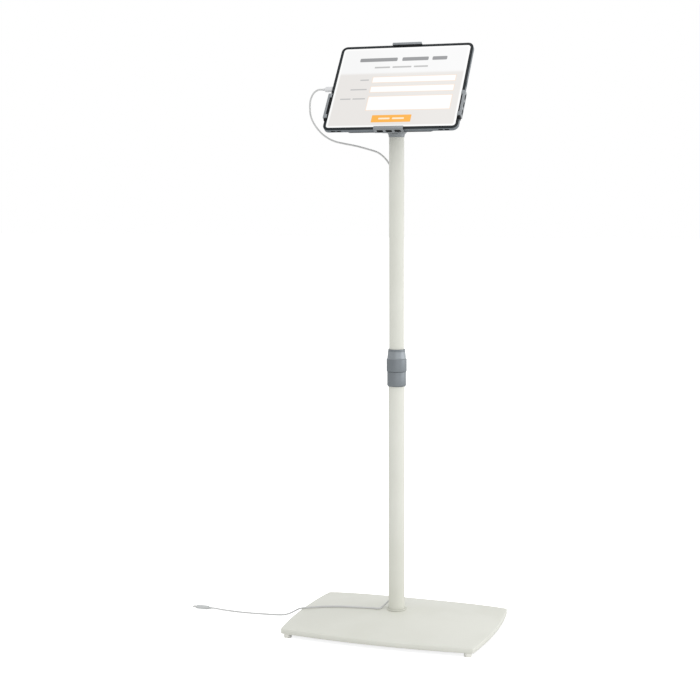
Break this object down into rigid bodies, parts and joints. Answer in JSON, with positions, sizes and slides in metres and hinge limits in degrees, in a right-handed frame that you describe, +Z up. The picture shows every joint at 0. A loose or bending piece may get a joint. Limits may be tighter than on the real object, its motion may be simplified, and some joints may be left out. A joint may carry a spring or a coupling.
{
  "type": "adjustable tablet floor stand",
  "caption": "Weighted floor stand with a telescopic pole, a twist lock, a tilting padded clip holder, a tablet and a charging cable led through the pole.",
  "frame": {"origin": "On the floor, under the middle of the base and on the pole axis", "axes": "+Z up the pole, -Y the side that the screen faces, +X to the right of a person who faces the screen"},
  "size_m": [0.659, 0.298, 1.1718],
  "materials": {
    "off_white_paint": "satin",
    "ballast_steel": "mill",
    "foot_plastic": "matte",
    "fastener_steel": "zinc",
    "lock_screw_black": "black oxide",
    "collar_plastic": "matte",
    "inner_plastic": "matte",
    "grip_rubber": "matte",
    "holder_paint": "satin",
    "clip_metal": "bead blasted",
    "arm_steel": "brushed",
    "tablet_metal": "anodised",
    "screen_glass": "gloss",
    "battery_wrap": "matte",
    "circuit_board": "satin",
    "cable_jacket": "matte",
    "plug_plastic": "gloss",
    "plug_metal": "plated"
  },
  "bodies": {
    "base": {"base_cover": "off_white_paint", "ballast_plate": "ballast_steel", "base_feet": "foot_plastic", "foot_screws": "fastener_steel", "pole_spacer": "ballast_steel", "pole_bolt": "fastener_steel", "bolt_washer": "fastener_steel", "pole_insert": "ballast_steel", "pole_ring": "off_white_paint", "lower_tube": "off_white_paint", "lower_grommet": "grip_rubber", "collar_sleeve": "collar_plastic", "collet": "inner_plastic", "cable_inside": "cable_jacket", "cable_lower": "cable_jacket", "floor_plug_relief": "cable_jacket", "floor_plug_body": "plug_plastic", "floor_plug_tip": "plug_metal"},
    "lock_ring": {"lock_nut": "collar_plastic"},
    "slider": {"guide_bush": "inner_plastic"},
    "mast": {"upper_tube": "off_white_paint", "upper_grommet": "grip_rubber", "tilt_yoke": "clip_metal", "hinge_bolt": "fastener_steel", "hinge_nut": "fastener_steel", "cable_upper": "cable_jacket"},
    "head": {"friction_washers": "inner_plastic", "hinge_bracket": "holder_paint", "bracket_screws": "fastener_steel", "back_plate": "holder_paint", "arm_housing": "holder_paint", "housing_cover": "holder_paint", "cover_screws": "fastener_steel", "arm_lock_screws": "lock_screw_black", "bottom_arm": "arm_steel", "bottom_clip": "clip_metal", "bottom_pad": "grip_rubber", "tablet_shell": "tablet_metal", "tablet_screen": "screen_glass", "tablet_battery": "battery_wrap", "tablet_board": "circuit_board", "tablet_plug": "plug_plastic", "plug_tip": "plug_metal"},
    "left_clamp": {"left_arm": "arm_steel", "left_clip": "clip_metal", "left_pad": "grip_rubber"},
    "right_clamp": {"right_arm": "arm_steel", "right_clip": "clip_metal", "right_pad": "grip_rubber"},
    "top_clamp": {"top_arm": "arm_steel", "top_clip": "clip_metal", "top_pad": "grip_rubber"},
    "power_key": {"power_button": "tablet_metal"},
    "volume_key": {"volume_button": "tablet_metal"}
  },
  "joints": [
    {"name": "height_slide", "type": "slide", "parent": "base", "child": "slider", "axis": [0, 0, 1], "range_m": [-0.33, 0.04], "deforming": ["cable_inside"]},
    {"name": "mast_turn", "type": "hinge", "parent": "slider", "child": "mast", "pos_m": [0, 0, 0.7], "axis": [0, 0, 1], "range_deg": [-180, 180]},
    {"name": "lock_twist", "type": "hinge", "parent": "base", "child": "lock_ring", "pos_m": [0, 0, 0.545], "axis": [0, 0, 1], "range_deg": [0, 120]},
    {"name": "head_tilt", "type": "hinge", "parent": "mast", "child": "head", "pos_m": [0, 0, 1.019], "axis": [1, 0, 0], "range_deg": [-45, 26], "deforming": ["cable_upper"]},
    {"name": "left_slide", "type": "slide", "parent": "head", "child": "left_clamp", "axis": [-1, 0, 0], "range_m": [0, 0.02]},
    {"name": "right_slide", "type": "slide", "parent": "head", "child": "right_clamp", "axis": [1, 0, 0], "range_m": [0, 0.02]},
    {"name": "top_slide", "type": "slide", "parent": "head", "child": "top_clamp", "axis": [0, 0.5707, 0.8211], "range_m": [0, 0.02]},
    {"name": "power_press", "type": "slide", "parent": "head", "child": "power_key", "axis": [-1, 0, 0], "range_m": [0, 0.0005], "stiffness_N_per_m": 2500, "springref_m": -0.0006},
    {"name": "volume_press", "type": "slide", "parent": "head", "child": "volume_key", "axis": [0, -0.5707, -0.8211], "range_m": [0, 0.0005], "stiffness_N_per_m": 2500, "springref_m": -0.0006}
  ]
}
